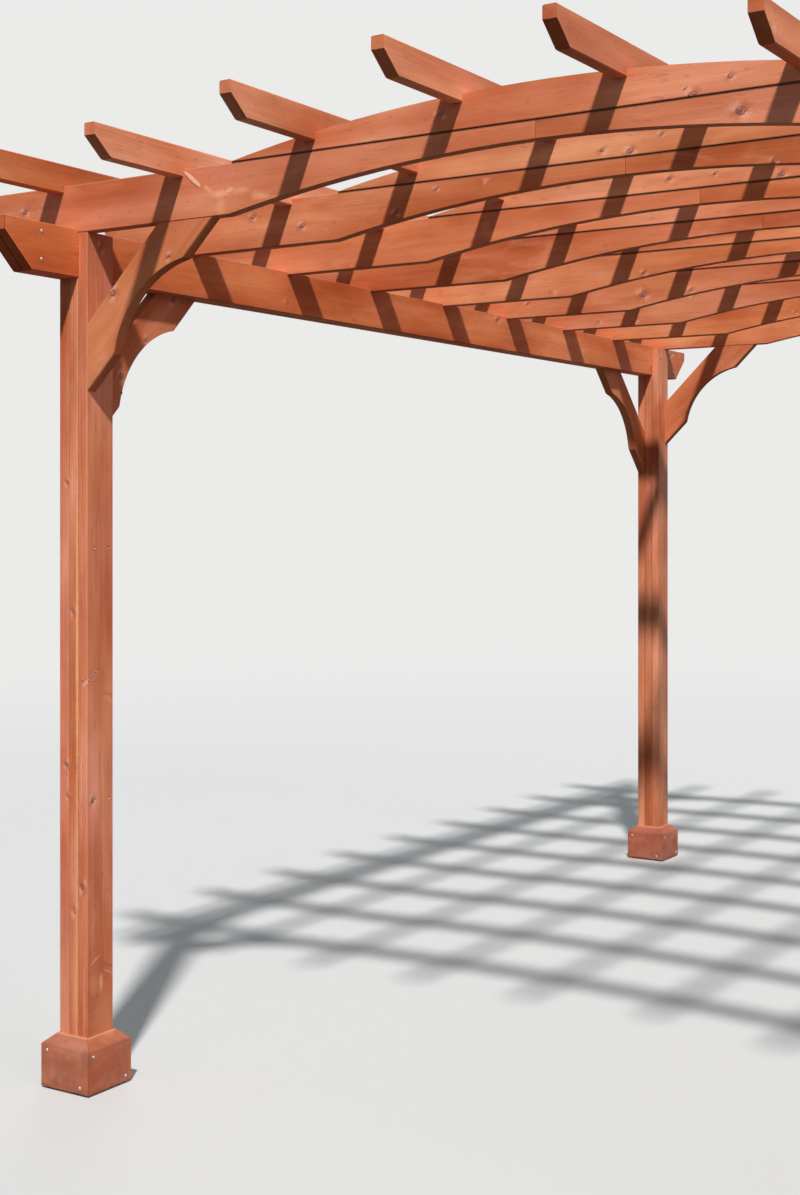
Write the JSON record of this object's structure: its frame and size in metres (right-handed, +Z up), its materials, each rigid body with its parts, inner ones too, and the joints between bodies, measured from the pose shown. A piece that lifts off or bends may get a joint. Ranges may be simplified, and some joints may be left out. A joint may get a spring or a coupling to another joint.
{
  "type": "arched wooden pergola",
  "caption": "Free-standing wooden garden pergola with laminated posts, doubled headers, arched rafters, notched slats, scalloped corner braces and post collars.",
  "frame": {"origin": "on the ground, in the middle of the plan", "axes": "+X to the right along the rafters, +Y to the back along the headers, +Z up"},
  "size_m": [3.8652, 5.015, 2.8866],
  "materials": {
    "post_boards": "semi-transparent red-brown stain with a satin sheen",
    "header_boards": "semi-transparent red-brown stain with a satin sheen",
    "rafter_boards": "semi-transparent red-brown stain with a satin sheen",
    "crown_boards": "semi-transparent red-brown stain with a satin sheen",
    "slat_boards": "semi-transparent red-brown stain with a satin sheen",
    "brace_boards": "semi-transparent red-brown stain with a satin sheen",
    "collar_boards": "semi-transparent red-brown stain with a satin sheen",
    "screws": "zinc-plated screw heads, slightly weathered"
  },
  "bodies": {
    "root": {"post_front_left_short_plies": "post_boards", "post_front_left_tall_ply": "post_boards", "collar_front_left": "collar_boards", "braces_front_left": "brace_boards", "post_back_left_short_plies": "post_boards", "post_back_left_tall_ply": "post_boards", "collar_back_left": "collar_boards", "braces_back_left": "brace_boards", "post_front_right_short_plies": "post_boards", "post_front_right_tall_ply": "post_boards", "collar_front_right": "collar_boards", "braces_front_right": "brace_boards", "post_back_right_short_plies": "post_boards", "post_back_right_tall_ply": "post_boards", "collar_back_right": "collar_boards", "braces_back_right": "brace_boards", "header_left": "header_boards", "header_right": "header_boards", "rafter_1": "rafter_boards", "crown_1": "crown_boards", "rafter_2": "rafter_boards", "crown_2": "crown_boards", "rafter_3": "rafter_boards", "crown_3": "crown_boards", "rafter_4": "rafter_boards", "crown_4": "crown_boards", "rafter_5": "rafter_boards", "crown_5": "crown_boards", "rafter_6": "rafter_boards", "crown_6": "crown_boards", "rafter_7": "rafter_boards", "crown_7": "crown_boards", "rafter_8": "rafter_boards", "crown_8": "crown_boards", "rafter_9": "rafter_boards", "crown_9": "crown_boards", "slat_1": "slat_boards", "slat_2": "slat_boards", "slat_3": "slat_boards", "slat_4": "slat_boards", "slat_5": "slat_boards", "slat_6": "slat_boards", "slat_7": "slat_boards", "slat_8": "slat_boards"}
  },
  "joints": []
}
